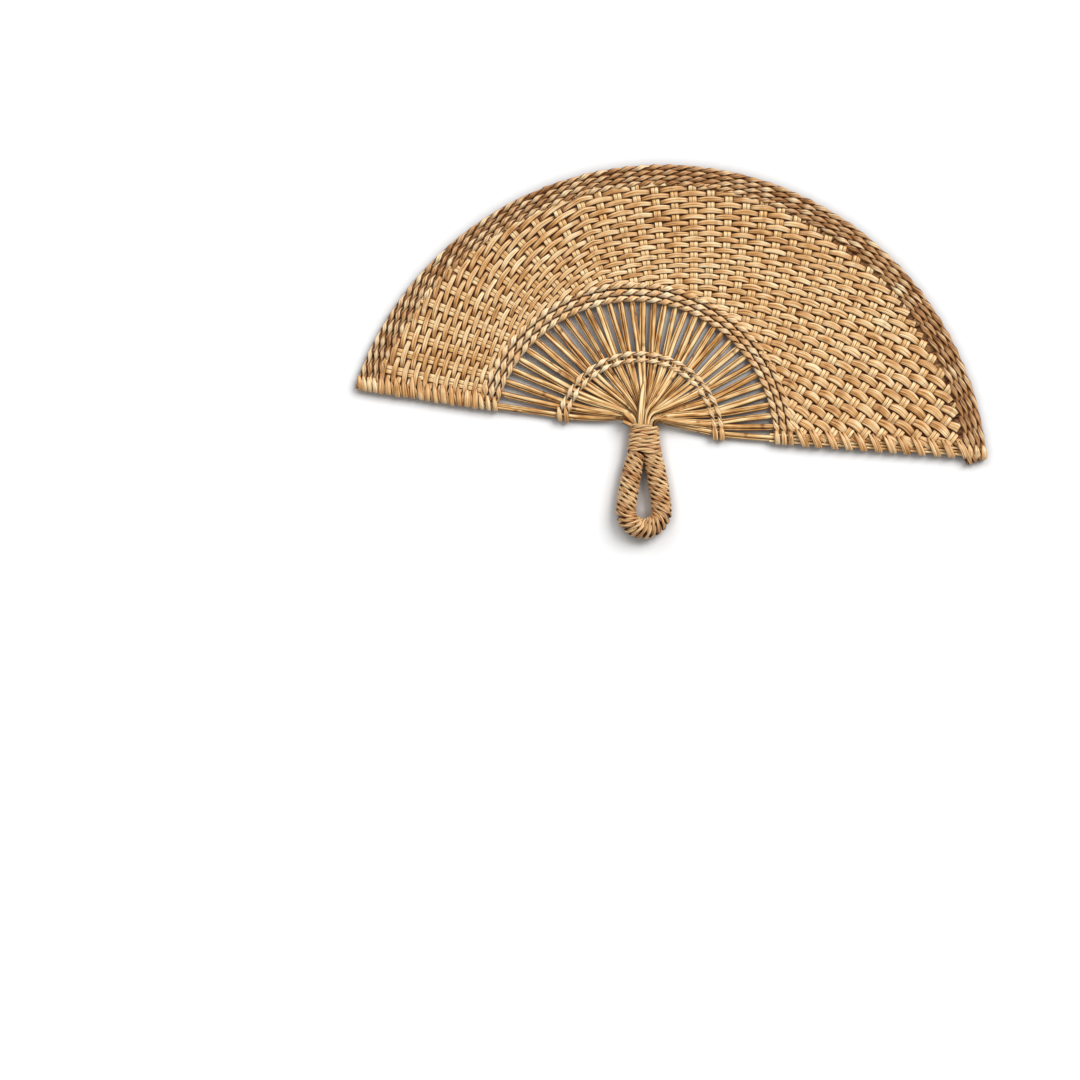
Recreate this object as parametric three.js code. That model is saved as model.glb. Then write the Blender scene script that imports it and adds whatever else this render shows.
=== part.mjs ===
// A fixed hand fan woven from straw. Forked ribs of split cane spread from a bound neck, flat straws are
// woven through them, pairs of strands are twined across them, and the handle is a whipped loop.
// Millimetres, +Z up. The fan lies flat, with its rim toward +Y and its handle toward -Y.
import * as THREE from "three";

// Outline of the blade, measured from the throat where the ribs meet
const RIM_RADIUS = 204;
const RIM_CENTRE = new THREE.Vector2(15.6, -36.8);
const HALF_SPREAD = THREE.MathUtils.degToRad(87.7);

// Ribs: a stalk in the neck forks into two sticks, round when open and pressed flat in the weave
const RIB_SPACING = 7.86;
const STALK_WIDTH = 1.6;
const STALK_THICK = 1.8;
const STALK_LAYERS = 3;
const STALK_TUCK = 8.5;
const STALK_EXIT = 1.4;
const EXIT_STEP = 1.7;
const FORK_REACH = 14;
const STICK_REACH = 40;
const STICK_WIDTH = 2;
const STICK_THICK = 2;
const RIB_WIDTH = 2.6;
const RIB_THICK = 0.9;
const PRESS_RUN = 4;
const TIP_INSET = 0.8;

// Clearance that every two pieces keep
const SEAT_GAP = 0.3;

// Twined rows: two strands that change places between one stake and the next
const STRAND_WIDTH = 2.4;
const STRAND_THICK = 1;
const ROW_PITCH = 4.3;
const INNER_RADIUS = 47.4;
const INNER_CENTRE = new THREE.Vector2(-3.3, -5);
const INNER_ROWS = 2;
const BAND_RADIUS = 89.9;
const BAND_CENTRE = new THREE.Vector2(-6.4, -9.3);
const BAND_ROWS = 3;
const RIM_ROWS = 3;
const RIM_INSET = 2.2;
const REST_LAND = 1.5;
const REST_DEPTH = 0.2;

// Woven panel between the band and the rim
const WEFT_ROWS = 17;
const WEFT_THICK = 0.8;
const WEFT_GAP = 0.5;
const PANEL_MARGIN = 2.4;

// Handle: a core rod bent into a teardrop, wound with cord, leaning a little off the axis of the blade. Its
// neck stands up the blade, past the throat, so that the outermost ribs dip a little on their way out.
const NECK_PLACE = new THREE.Vector3(-0.9, 4.4, 0);
const LEAN = THREE.MathUtils.degToRad(5.8);
const CORE_RADIUS = 3.8;
const CORE_SIDES = 8;
const CORE_STEPS = 44;
const CORE_START = 9.2;
const NECK_LENGTH = 19.5;
const LOOP_HALF = 11.2;
const LOOP_CENTRE = 56;
const LEG_START = 27;
const CORD_DIAMETER = 1.8;
const CORD_SIDES = 5;
const WHIP_TURNS = 20;
const WHIP_STEPS = 8;
const BIND_TURNS = 7;
const BIND_START = 2.6;
const BIND_ARC_STEPS = 4;
const FLOOR_GAP = 0.3;
// Points of the core's route and of a cord on which places and gaps are measured
const ROUTE_SAMPLES = 400;
const GAP_SAMPLES = 4;

// Straw colours and sheen
const CANE = 0xc39a68;
const WEFT_STRAW = 0xc79f70;
const TWINE_STRAW = 0xb38b62;
const CORE_STRAW = 0x9c7750;
const CORD_STRAW = 0xa98560;
const STRAW_ROUGHNESS = 0.62;

// Places worked out from the sizes above

// Forked ribs and two edge stakes stand one spacing apart along the band
const RIB_PAIRS = Math.round(((2 * HALF_SPREAD * BAND_RADIUS) / RIB_SPACING - 1) / 2);
const RIBS = 2 * RIB_PAIRS + 2;
const RIB_PITCH = (2 * HALF_SPREAD) / (RIBS - 1);
const ribAngle = (rib) => -HALF_SPREAD + rib * RIB_PITCH;

// Unit directions in the plane of the blade: away from the throat, and across that toward +X
const outward = (angle) => new THREE.Vector3(Math.sin(angle), Math.cos(angle), 0);
const across = (angle) => new THREE.Vector3(Math.cos(angle), -Math.sin(angle), 0);

// Distance from the throat to a circle round another centre
function circleReach(angle, centre, radius) {
  const along = outward(angle).dot(new THREE.Vector3(centre.x, centre.y, 0));
  return along + Math.sqrt(along * along - centre.lengthSq() + radius * radius);
}
const rimReach = (angle, inset) => circleReach(angle, RIM_CENTRE, RIM_RADIUS - inset);
const bandReach = (angle, row) => circleReach(angle, BAND_CENTRE, BAND_RADIUS + row * ROW_PITCH);
const innerReach = (angle, row) => circleReach(angle, INNER_CENTRE, INNER_RADIUS + row * ROW_PITCH);

// Least distance from the throat to a row, taken over all ribs
const leastReach = (reach) =>
  Math.min(...Array.from({ length: RIBS }, (_, rib) => reach(ribAngle(rib))));

// Height of a strand above the ribs so that its lower corner clears a stake on the way down
function strandLift(stakeHalfWidth, stakeHalfThick, halfPitch) {
  const share = stakeHalfWidth / halfPitch;
  const clear = stakeHalfThick + SEAT_GAP;
  return STRAND_THICK / 2 + (clear + (share * STRAND_WIDTH) / 2) / (1 - share);
}

const TWINE_RUN = (leastReach((angle) => bandReach(angle, 0)) * RIB_PITCH) / 2;
const TWINE_LIFT = strandLift(RIB_WIDTH / 2, RIB_THICK / 2, TWINE_RUN);
const REST_LIFT = TWINE_LIFT + REST_DEPTH;
const BLADE_Z = REST_LIFT + STRAND_THICK / 2;
// Half the distance between two strands where they trade places, so that their turning corners stay clear
const STRAND_FLOOR = TWINE_LIFT - STRAND_THICK / 2;
const STRAND_SWING = (STRAND_THICK + SEAT_GAP) / 2 + (STRAND_WIDTH / 2) ** 2 / STRAND_FLOOR;

const WHIP_RADIUS = (CORE_RADIUS + SEAT_GAP + CORD_DIAMETER / 2) / Math.cos(Math.PI / WHIP_STEPS);
const HANDLE_Z = WHIP_RADIUS + CORD_DIAMETER / 2 + FLOOR_GAP;

// Surfaces

// A closed surface from vertices and triangles, with its faces turned outwards
function closedGeometry(points, triangles) {
  let volume = 0;
  for (const [a, b, c] of triangles) {
    volume += points[a].dot(new THREE.Vector3().crossVectors(points[b], points[c]));
  }
  const index = triangles.flatMap(([a, b, c]) => (volume < 0 ? [a, c, b] : [a, b, c]));
  const geometry = new THREE.BufferGeometry().setFromPoints(points);
  geometry.setIndex(index);
  return geometry;
}

// Triangles between two rings of vertex numbers, and over the end of one ring
function bridge(first, second) {
  const triangles = [];
  first.forEach((a, i) => {
    const j = (i + 1) % first.length;
    triangles.push([a, second[i], second[j]], [a, second[j], first[j]]);
  });
  return triangles;
}
const cap = (ring) => ring.slice(2).map((c, i) => [ring[0], ring[i + 1], c]);
const reversed = (triangles) => triangles.map(([a, b, c]) => [a, c, b]);

// A solid through a list of rings with equal counts of points
function loft(rings) {
  const points = rings.flat();
  const numbers = rings.map((ring, r) => ring.map((_, i) => r * ring.length + i));
  const triangles = [...cap(numbers[0]), ...reversed(cap(numbers[numbers.length - 1]))];
  for (let r = 1; r < numbers.length; r += 1) {
    triangles.push(...bridge(numbers[r - 1], numbers[r]));
  }
  return closedGeometry(points, triangles);
}

// A flat ring of four corners: half the width along one direction and half the thickness along another
function strip(centre, wide, width, thick, thickness) {
  const corner = (w, t) =>
    centre.clone().addScaledVector(wide, (w * width) / 2).addScaledVector(thick, (t * thickness) / 2);
  return [corner(-1, 1), corner(1, 1), corner(1, -1), corner(-1, -1)];
}

const fan = new THREE.Group();
const UP = new THREE.Vector3(0, 0, 1);

function addPiece(name, geometry, colour) {
  const material = new THREE.MeshStandardMaterial({ color: colour, roughness: STRAW_ROUGHNESS, metalness: 0 });
  const mesh = new THREE.Mesh(geometry, material);
  mesh.name = name;
  fan.add(mesh);
}

// Ribs and edge stakes

const STALKS = RIB_PAIRS + 2;
const STALK_COLUMNS = Math.ceil(STALKS / STALK_LAYERS);
const COLUMN_PITCH = STALK_WIDTH + SEAT_GAP;
const LAYER_PITCH = STALK_THICK + SEAT_GAP;
const stalkX = (stalk) => (Math.floor(stalk / STALK_LAYERS) - (STALK_COLUMNS - 1) / 2) * COLUMN_PITCH;
const stalkZ = (stalk) => HANDLE_Z + ((stalk % STALK_LAYERS) - (STALK_LAYERS - 1) / 2) * LAYER_PITCH;

// A point of the leaning handle, given in the handle's own upright frame
const inHandle = (x, y, z) => new THREE.Vector3(x, y, z).applyAxisAngle(UP, LEAN).add(NECK_PLACE);

// Centres and side directions of one stalk: up through the neck, round the bend and out to the fork
function stalkStations(stalk, angle) {
  const x = stalkX(stalk);
  const z = stalkZ(stalk);
  const column = Math.abs(x) / COLUMN_PITCH;
  const exit = STALK_EXIT + EXIT_STEP * ((STALK_COLUMNS - 1) / 2 - column);
  const foot = inHandle(x, -STALK_TUCK, z);
  const bend = inHandle(x, exit, z);
  const fork = outward(angle).multiplyScalar(FORK_REACH).add(NECK_PLACE).setZ(z);
  const rise = bend.clone().sub(foot).normalize();
  const reach = fork.clone().sub(bend).normalize();
  const mitre = rise.clone().add(reach).normalize();
  const sideOf = (direction) => new THREE.Vector3().crossVectors(direction, UP);
  const bendSide = sideOf(mitre).divideScalar(mitre.dot(rise));
  return [
    { centre: foot, side: sideOf(rise) },
    { centre: bend, side: bendSide },
    { centre: fork, side: across(angle) },
  ];
}

// Rings of one stick from the end of the open part to its tip under the rim
function stickRings(angle) {
  const at = (reach, width, thick) =>
    strip(outward(angle).multiplyScalar(reach).setZ(BLADE_Z), across(angle), width, UP, thick);
  return [
    at(openReach(angle), STICK_WIDTH, STICK_THICK),
    at(pressReach(angle), RIB_WIDTH, RIB_THICK),
    at(rimReach(angle, TIP_INSET), RIB_WIDTH, RIB_THICK),
  ];
}

const pressReach = (angle) => bandReach(angle, 0) - STRAND_WIDTH;
const openReach = (angle) => pressReach(angle) - PRESS_RUN;

// How far a stick of a forked rib stands aside from the middle of its pair: the two lie together up to the
// knee and spread from there to the band
const KNEE_ASIDE = (STICK_WIDTH + SEAT_GAP) / 2;
function stickAside(reach, middle) {
  const open = openReach(middle);
  const share = (reach - STICK_REACH) / (open - STICK_REACH);
  return THREE.MathUtils.lerp(KNEE_ASIDE, open * Math.sin(RIB_PITCH / 2), share);
}

// A forked rib: the stalk's rings have six points, and each stick carries on from one half of the last ring
function forkedRib(stalk, leftAngle, rightAngle) {
  const middle = (leftAngle + rightAngle) / 2;
  const points = [];
  const number = (list) => list.map((point) => points.push(point) - 1);
  const stations = stalkStations(stalk, middle);
  const stalkRings = stations.map(({ centre, side }) => {
    const at = (s, t) =>
      centre
        .clone()
        .addScaledVector(side, (s * STALK_WIDTH) / 2)
        .addScaledVector(UP, (t * STALK_THICK) / 2);
    return number([at(-1, 1), at(0, 1), at(1, 1), at(1, -1), at(0, -1), at(-1, -1)]);
  });
  const fork = stalkRings[stalkRings.length - 1];
  const triangles = cap(stalkRings[0]);
  for (let r = 1; r < stalkRings.length; r += 1) {
    triangles.push(...bridge(stalkRings[r - 1], stalkRings[r]));
  }
  const halves = [
    { hand: -1, angle: leftAngle, first: [fork[0], fork[1], fork[4], fork[5]] },
    { hand: 1, angle: rightAngle, first: [fork[1], fork[2], fork[3], fork[4]] },
  ];
  for (const { hand, angle, first } of halves) {
    const knee = outward(middle).multiplyScalar(STICK_REACH).setZ(BLADE_Z);
    knee.addScaledVector(across(middle), hand * KNEE_ASIDE);
    const rings = [strip(knee, across(angle), STICK_WIDTH, UP, STICK_THICK), ...stickRings(angle)];
    let last = first;
    for (const ring of rings) {
      const next = number(ring);
      triangles.push(...bridge(last, next));
      last = next;
    }
    triangles.push(...reversed(cap(last)));
  }
  return closedGeometry(points, triangles);
}

function edgeStake(stalk, angle) {
  const rings = stalkStations(stalk, angle).map(({ centre, side }) =>
    strip(centre, side, STALK_WIDTH, UP, STALK_THICK),
  );
  const knee = outward(angle).multiplyScalar(STICK_REACH).setZ(BLADE_Z);
  rings.push(strip(knee, across(angle), STICK_WIDTH, UP, STICK_THICK));
  rings.push(...stickRings(angle));
  return loft(rings);
}

const two = (count) => String(count).padStart(2, "0");

addPiece("edge_stake_left", edgeStake(0, ribAngle(0)), CANE);
for (let pair = 0; pair < RIB_PAIRS; pair += 1) {
  const first = 1 + 2 * pair;
  const rib = forkedRib(pair + 1, ribAngle(first), ribAngle(first + 1));
  addPiece(`rib_pair_${two(pair + 1)}`, rib, CANE);
}
addPiece("edge_stake_right", edgeStake(STALKS - 1, ribAngle(RIBS - 1)), CANE);

// Twined rows

// One strand of a row. It passes each stake above or below, with its flat side to the stake, and trades
// places with its partner by a quarter turn on either side of the gap between two stakes.
function twineStrand({ stakes, reach, start, lift, run, sides }) {
  const rings = [];
  const addRing = (angle, phase) => {
    const turned = phase * Math.PI;
    const away = outward(angle).multiplyScalar(Math.sin(turned)).addScaledVector(UP, Math.cos(turned));
    const wide = outward(angle).multiplyScalar(Math.cos(turned)).addScaledVector(UP, -Math.sin(turned));
    const centre = outward(angle).multiplyScalar(reach(angle) + STRAND_SWING * Math.sin(turned));
    centre.z = BLADE_Z + lift * Math.cos(turned);
    const ring = strip(centre, wide, STRAND_WIDTH, away, STRAND_THICK);
    if (sides === 3) {
      ring.splice(0, 2, ring[0].add(ring[1]).multiplyScalar(0.5));
    }
    rings.push(ring.reverse());
  };
  const first = stakes[0];
  addRing(first.angle - run / reach(first.angle), start - 0.5);
  stakes.forEach((stake, i) => {
    const turn = stake.land / reach(stake.angle);
    const offsets = turn > 0 ? [-turn, turn] : [0];
    offsets.forEach((offset) => addRing(stake.angle + offset, start + i));
    const next = stakes[i + 1];
    if (next) {
      const nearEdge = stake.angle + stake.half / reach(stake.angle);
      const farEdge = next.angle - next.half / reach(next.angle);
      addRing((nearEdge + farEdge) / 2, start + i + 0.5);
    }
  });
  const last = stakes[stakes.length - 1];
  addRing(last.angle + run / reach(last.angle), start + stakes.length - 0.5);
  return loft(rings);
}

function addTwine(name, row, settings) {
  ["a", "b"].forEach((strand, start) => {
    addPiece(`${name}_${row + 1}${strand}`, twineStrand({ ...settings, start }), TWINE_STRAW);
  });
}

const singleStakes = (land) =>
  Array.from({ length: RIBS }, (_, rib) => ({ angle: ribAngle(rib), half: RIB_WIDTH / 2, land }));

// Near the neck a strand passes both sticks of a forked rib at once
function pairedStakes(reach) {
  const edge = STICK_WIDTH / 2;
  const stakes = [{ angle: ribAngle(0), half: edge, land: edge }];
  for (let rib = 1; rib < RIBS - 1; rib += 2) {
    const angle = ribAngle(rib + 0.5);
    const pair = stickAside(reach(angle), angle) + KNEE_ASIDE;
    stakes.push({ angle, half: pair, land: pair });
  }
  stakes.push({ angle: ribAngle(RIBS - 1), half: edge, land: edge });
  return stakes;
}

for (let row = 0; row < INNER_ROWS; row += 1) {
  const reach = (angle) => innerReach(angle, row);
  addTwine("inner_twine", row, {
    stakes: pairedStakes(reach),
    reach,
    lift: TWINE_LIFT,
    run: STICK_WIDTH / 2 + STRAND_THICK,
    sides: 3,
  });
}
for (let row = 0; row < BAND_ROWS; row += 1) {
  addTwine("band_twine", row, {
    stakes: singleStakes(0),
    reach: (angle) => bandReach(angle, row),
    lift: TWINE_LIFT,
    run: TWINE_RUN,
    sides: 3,
  });
}
for (let row = 0; row < RIM_ROWS; row += 1) {
  const outermost = row === RIM_ROWS - 1;
  addTwine("rim_twine", row, {
    stakes: singleStakes(outermost ? REST_LAND : 0),
    reach: (angle) => rimReach(angle, RIM_INSET + (RIM_ROWS - 1 - row) * ROW_PITCH),
    lift: outermost ? REST_LIFT : TWINE_LIFT,
    run: TWINE_RUN,
    sides: outermost ? 4 : 3,
  });
}

// Wefts

const panelStart = (angle) => bandReach(angle, BAND_ROWS - 1) + PANEL_MARGIN;
const PANEL_INSET = RIM_INSET + (RIM_ROWS - 1) * ROW_PITCH + PANEL_MARGIN;
const weftPitch = (angle) => (rimReach(angle, PANEL_INSET) - panelStart(angle)) / WEFT_ROWS;
const WEFT_CLEAR = RIB_THICK / 2 + SEAT_GAP + WEFT_THICK / 2;
const WEFT_RISE = WEFT_CLEAR / (1 - RIB_WIDTH / (leastReach(panelStart) * RIB_PITCH));

// A flat straw that climbs over one rib and dives under the next, and hooks round both edge stakes
function weft(row) {
  const rings = [];
  const addRing = (angle, aside, height, tilt) => {
    const reach = panelStart(angle) + (row + 0.5) * weftPitch(angle);
    const centre = outward(angle).multiplyScalar(reach).addScaledVector(across(angle), aside);
    centre.z = BLADE_Z + height;
    const thick = across(angle).multiplyScalar(Math.sin(tilt)).addScaledVector(UP, Math.cos(tilt));
    rings.push(strip(centre, outward(angle), weftPitch(angle) - WEFT_GAP, thick, WEFT_THICK));
  };
  const over = (rib) => ((rib + row) % 2 === 0 ? 1 : -1);
  const bend = RIB_WIDTH / 2;
  const outside = bend + SEAT_GAP + WEFT_THICK / 2;
  const hook = (rib, hand) => {
    const side = over(rib);
    const eighth = (Math.PI / 4) * hand * side;
    return [
      () => addRing(ribAngle(rib), hand * bend, side * WEFT_CLEAR, eighth),
      () => addRing(ribAngle(rib), hand * outside, 0, 2 * eighth),
      () => addRing(ribAngle(rib), hand * bend, -side * WEFT_CLEAR, 3 * eighth),
    ];
  };
  hook(0, -1).reverse().forEach((ring) => ring());
  for (let rib = 0; rib < RIBS; rib += 1) {
    addRing(ribAngle(rib), 0, over(rib) * WEFT_RISE, 0);
  }
  hook(RIBS - 1, 1).forEach((ring) => ring());
  return loft(rings);
}

for (let row = 0; row < WEFT_ROWS; row += 1) {
  addPiece(`weft_${two(row + 1)}`, weft(row), WEFT_STRAW);
}

// Handle core

const NECK_HALF = CORE_RADIUS + SEAT_GAP;
const LEG_HALF = WHIP_RADIUS + CORD_DIAMETER / 2 + SEAT_GAP;

function handleCurve() {
  const right = [
    [NECK_HALF, -CORE_START],
    [NECK_HALF, -NECK_LENGTH],
    [LEG_HALF, -LEG_START],
    [LOOP_HALF, -LOOP_CENTRE],
  ];
  const bend = [-3, -2, -1].map((eighth) => {
    const turn = (eighth * Math.PI) / 8;
    return [LOOP_HALF * Math.cos(turn), -LOOP_CENTRE + LOOP_HALF * Math.sin(turn)];
  });
  const half = [...right, ...bend.reverse()];
  const left = half.map(([x, y]) => [-x, y]).reverse();
  const route = [...half, [0, -LOOP_CENTRE - LOOP_HALF], ...left];
  return new THREE.CatmullRomCurve3(route.map(([x, y]) => inHandle(x, y, HANDLE_Z)));
}
const coreRoute = handleCurve();

const coreSection = new THREE.Shape();
for (let side = 0; side < CORE_SIDES; side += 1) {
  const turn = ((side + 0.5) / CORE_SIDES) * 2 * Math.PI;
  const point = [CORE_RADIUS * Math.cos(turn), CORE_RADIUS * Math.sin(turn)];
  if (side === 0) {
    coreSection.moveTo(...point);
  } else {
    coreSection.lineTo(...point);
  }
}
const coreShape = new THREE.ExtrudeGeometry(coreSection, {
  steps: CORE_STEPS,
  extrudePath: coreRoute,
  bevelEnabled: false,
});
addPiece("handle_core", coreShape, CORE_STRAW);

// Windings

// A cord along a list of centres, with the given direction away from what it is wound on at each centre
function cordGeometry(centres, aways) {
  const rings = centres.map((centre, i) => {
    const before = centres[Math.max(i - 1, 0)];
    const after = centres[Math.min(i + 1, centres.length - 1)];
    const ahead = after.clone().sub(before).normalize();
    const side = new THREE.Vector3().crossVectors(ahead, aways[i]).normalize();
    const away = new THREE.Vector3().crossVectors(side, ahead);
    const ring = [];
    for (let s = 0; s < CORD_SIDES; s += 1) {
      const turn = (s / CORD_SIDES) * 2 * Math.PI;
      const point = centre.clone().addScaledVector(away, (CORD_DIAMETER / 2) * Math.cos(turn));
      ring.push(point.addScaledVector(side, (CORD_DIAMETER / 2) * Math.sin(turn)));
    }
    return ring;
  });
  return loft(rings);
}

// Least gap between turns of a cord, measured on points along its centre line
function leastGap(centres, stepsApart) {
  const points = [];
  for (let i = 0; i + 1 < centres.length; i += 1) {
    for (let part = 0; part < GAP_SAMPLES; part += 1) {
      points.push(centres[i].clone().lerp(centres[i + 1], part / GAP_SAMPLES));
    }
  }
  let least = Infinity;
  for (let i = 0; i < points.length; i += 1) {
    for (let j = i + stepsApart * GAP_SAMPLES; j < points.length; j += 1) {
      least = Math.min(least, points[i].distanceTo(points[j]));
    }
  }
  return least - CORD_DIAMETER;
}

function loopWhipping() {
  const length = coreRoute.getLength();
  let begin = 0;
  for (let i = 0; i < ROUTE_SAMPLES && begin === 0; i += 1) {
    const upright = coreRoute.getPointAt(i / ROUTE_SAMPLES).sub(NECK_PLACE).applyAxisAngle(UP, -LEAN);
    if (upright.y < -LEG_START) {
      begin = i / ROUTE_SAMPLES;
    }
  }
  const centres = [];
  const aways = [];
  const steps = WHIP_TURNS * WHIP_STEPS;
  for (let step = 0; step <= steps; step += 1) {
    const place = begin + (1 - 2 * begin) * (step / steps);
    const turn = (step / WHIP_STEPS) * 2 * Math.PI;
    const along = coreRoute.getTangentAt(place);
    const side = new THREE.Vector3().crossVectors(along, UP).normalize();
    const away = side.multiplyScalar(Math.cos(turn)).addScaledVector(UP, Math.sin(turn));
    aways.push(away);
    centres.push(coreRoute.getPointAt(place).addScaledVector(away, WHIP_RADIUS));
  }
  console.log(`loop whipping: least gap to itself ${leastGap(centres, WHIP_STEPS / 2).toFixed(2)} mm`);
  console.log(`handle core: ${length.toFixed(0)} mm long`);
  return cordGeometry(centres, aways);
}

// The neck is wound over an oval: two half circles joined by straight runs
const STALK_CORNER_X = ((STALK_COLUMNS - 1) * COLUMN_PITCH + STALK_WIDTH) / 2;
const STALK_CORNER_Z = ((STALK_LAYERS - 1) * LAYER_PITCH + STALK_THICK) / 2;
const OVAL_INNER = Math.hypot(STALK_CORNER_X - NECK_HALF, STALK_CORNER_Z) + SEAT_GAP;
const OVAL_RADIUS = (OVAL_INNER + CORD_DIAMETER / 2) / Math.cos(Math.PI / (2 * BIND_ARC_STEPS));

function neckBinding() {
  const stations = [];
  for (const hand of [1, -1]) {
    for (let i = 0; i <= BIND_ARC_STEPS; i += 1) {
      const turn = hand * (Math.PI / 2 - (i / BIND_ARC_STEPS) * Math.PI);
      stations.push({ x: hand * NECK_HALF, turn: hand > 0 ? turn : Math.PI - turn });
    }
  }
  const lap = stations.length;
  const pitch = (NECK_LENGTH - BIND_START) / BIND_TURNS;
  const centres = [];
  const aways = [];
  for (let step = 0; step <= BIND_TURNS * lap; step += 1) {
    const { x, turn } = stations[step % lap];
    const y = -BIND_START - (pitch * step) / lap;
    const away = new THREE.Vector3(Math.cos(turn), 0, Math.sin(turn)).applyAxisAngle(UP, LEAN);
    aways.push(away);
    centres.push(inHandle(x, y, HANDLE_Z).addScaledVector(away, OVAL_RADIUS));
  }
  console.log(`neck binding: least gap to itself ${leastGap(centres, lap / 2).toFixed(2)} mm`);
  return cordGeometry(centres, aways);
}

addPiece("loop_whipping", loopWhipping(), CORD_STRAW);
addPiece("neck_binding", neckBinding(), CORD_STRAW);

// The origin is under the middle of the fan, on the surface that it lies on
const box = new THREE.Box3().setFromObject(fan);
const middle = box.getCenter(new THREE.Vector3());
fan.position.set(-middle.x, -middle.y, -box.min.z);
console.log(`throat at ${fan.position.x.toFixed(2)}, ${fan.position.y.toFixed(2)} mm`);

const part = new THREE.Group();
part.add(fan);
export default part;
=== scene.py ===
import math
import random

import bpy
import numpy as np
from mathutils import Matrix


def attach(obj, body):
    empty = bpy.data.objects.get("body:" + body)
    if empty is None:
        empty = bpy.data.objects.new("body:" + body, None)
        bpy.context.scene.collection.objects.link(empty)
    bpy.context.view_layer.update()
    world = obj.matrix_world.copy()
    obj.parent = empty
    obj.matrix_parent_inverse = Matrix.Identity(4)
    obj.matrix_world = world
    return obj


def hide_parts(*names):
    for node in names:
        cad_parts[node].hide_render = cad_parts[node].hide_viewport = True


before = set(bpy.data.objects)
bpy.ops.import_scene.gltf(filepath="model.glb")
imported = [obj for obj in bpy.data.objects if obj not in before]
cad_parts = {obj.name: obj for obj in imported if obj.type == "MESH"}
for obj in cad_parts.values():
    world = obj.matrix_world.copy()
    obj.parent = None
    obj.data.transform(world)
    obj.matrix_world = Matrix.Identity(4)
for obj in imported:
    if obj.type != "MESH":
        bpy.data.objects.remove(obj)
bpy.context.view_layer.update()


# Ribs: thirty-six sticks of split cane, each a broad strip with a sliver beside it, dried and a little
# crooked. They rise out of the neck in three layers, lie together in pairs and fork where two twined rows
# hold them. Three cut stubs and one bent stick are left at the throat.
MM = 0.001
# All places are measured from the throat, where the ribs would meet
THROAT = np.array((-15.47, -49.08, 0.0))
NECK_PLACE = np.array((-0.9, 4.4, 0.0))
BLADE_Z = 3.1
HANDLE_Z = 6.6
HALF_SPREAD = math.radians(87.7)
RIBS = 36
RIB_PITCH = 2 * HALF_SPREAD / (RIBS - 1)
LEAN = math.radians(5.8)
UP = np.array((0.0, 0.0, 1.0))


def rib_angle(rib):
    return -HALF_SPREAD + rib * RIB_PITCH


def outward(angle):
    """Unit direction away from the throat, at an angle from the axis of the blade toward +X."""
    angle = np.asarray(angle, float)
    return np.stack((np.sin(angle), np.cos(angle), np.zeros_like(angle)), -1)


def across(angle):
    """Unit direction square to outward, toward +X."""
    angle = np.asarray(angle, float)
    return np.stack((np.cos(angle), -np.sin(angle), np.zeros_like(angle)), -1)


def circle_reach(angle, centre, radius):
    """Distance from the throat to a circle round another centre."""
    reach = (outward(angle) * centre).sum(-1)
    return reach + np.sqrt(reach**2 - (centre**2).sum() + radius**2)


HANDLE_RIGHT = np.array((math.cos(LEAN), math.sin(LEAN), 0.0))
HANDLE_UP = np.array((-math.sin(LEAN), math.cos(LEAN), 0.0))


def in_handle(x, y, z):
    """A point of the leaning handle, given in the handle's own upright frame."""
    return NECK_PLACE + HANDLE_RIGHT * x + HANDLE_UP * y + UP * z


def unit(vectors):
    return vectors / np.linalg.norm(vectors, axis=-1, keepdims=True)


def lengths_along(route):
    return np.concatenate(((0,), np.cumsum(np.linalg.norm(np.diff(route, axis=0), axis=1))))


CORNER_CUTS = 4


def rounded(points, step):
    """A route through the middle of each leg of a polyline, with its corners rounded, at even steps."""
    points = np.asarray(points, float)
    for _ in range(CORNER_CUTS):
        near = 0.75 * points[:-1] + 0.25 * points[1:]
        far = 0.25 * points[:-1] + 0.75 * points[1:]
        cut = np.stack((near, far), 1).reshape(-1, 3)
        points = np.vstack((points[:1], cut, points[-1:]))
    along = lengths_along(points)
    even = np.linspace(0, along[-1], max(4, round(along[-1] / step) + 1))
    return np.stack([np.interp(even, along, points[:, axis]) for axis in range(3)], 1)


CHANCE_SPAN = 60


def straw(route, side, half_width, half_thick, tone, painted_shade_top=0.0, painted_shade_bottom=None):
    """One strand: its route from the throat, the half width and half thickness along it, its tone, and the
    painted shade on its upper side, from 0 on top to 1 where it is hidden between its neighbours. A woven
    strand that is hidden from above shows from below, so the painted shade on its lower side is given by
    itself."""
    route = np.asarray(route, float)
    ahead = unit(np.gradient(route, axis=0))
    side = np.broadcast_to(np.asarray(side, float), route.shape)
    side = unit(side - (side * ahead).sum(1, keepdims=True) * ahead)
    deep = np.cross(ahead, side)
    if deep[:, 2].mean() < 0:
        side, deep = -side, -deep
    count = len(route)
    wide = side * np.broadcast_to(half_width, (count,))[:, None]
    deep = deep * np.broadcast_to(half_thick, (count,))[:, None]
    return {
        "route": route + THROAT,
        "wide": wide,
        "deep": deep,
        "along": lengths_along(route),
        "tone": tone,
        "painted_shade_top": painted_shade_top,
        "painted_shade_bottom": painted_shade_top if painted_shade_bottom is None else painted_shade_bottom,
        "chance": random.Random(str(route[0].round(2))).uniform(0, CHANCE_SPAN),
    }


def link(tree, *pairs):
    for out_socket, in_socket in pairs:
        tree.links.new(out_socket, in_socket)


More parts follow.
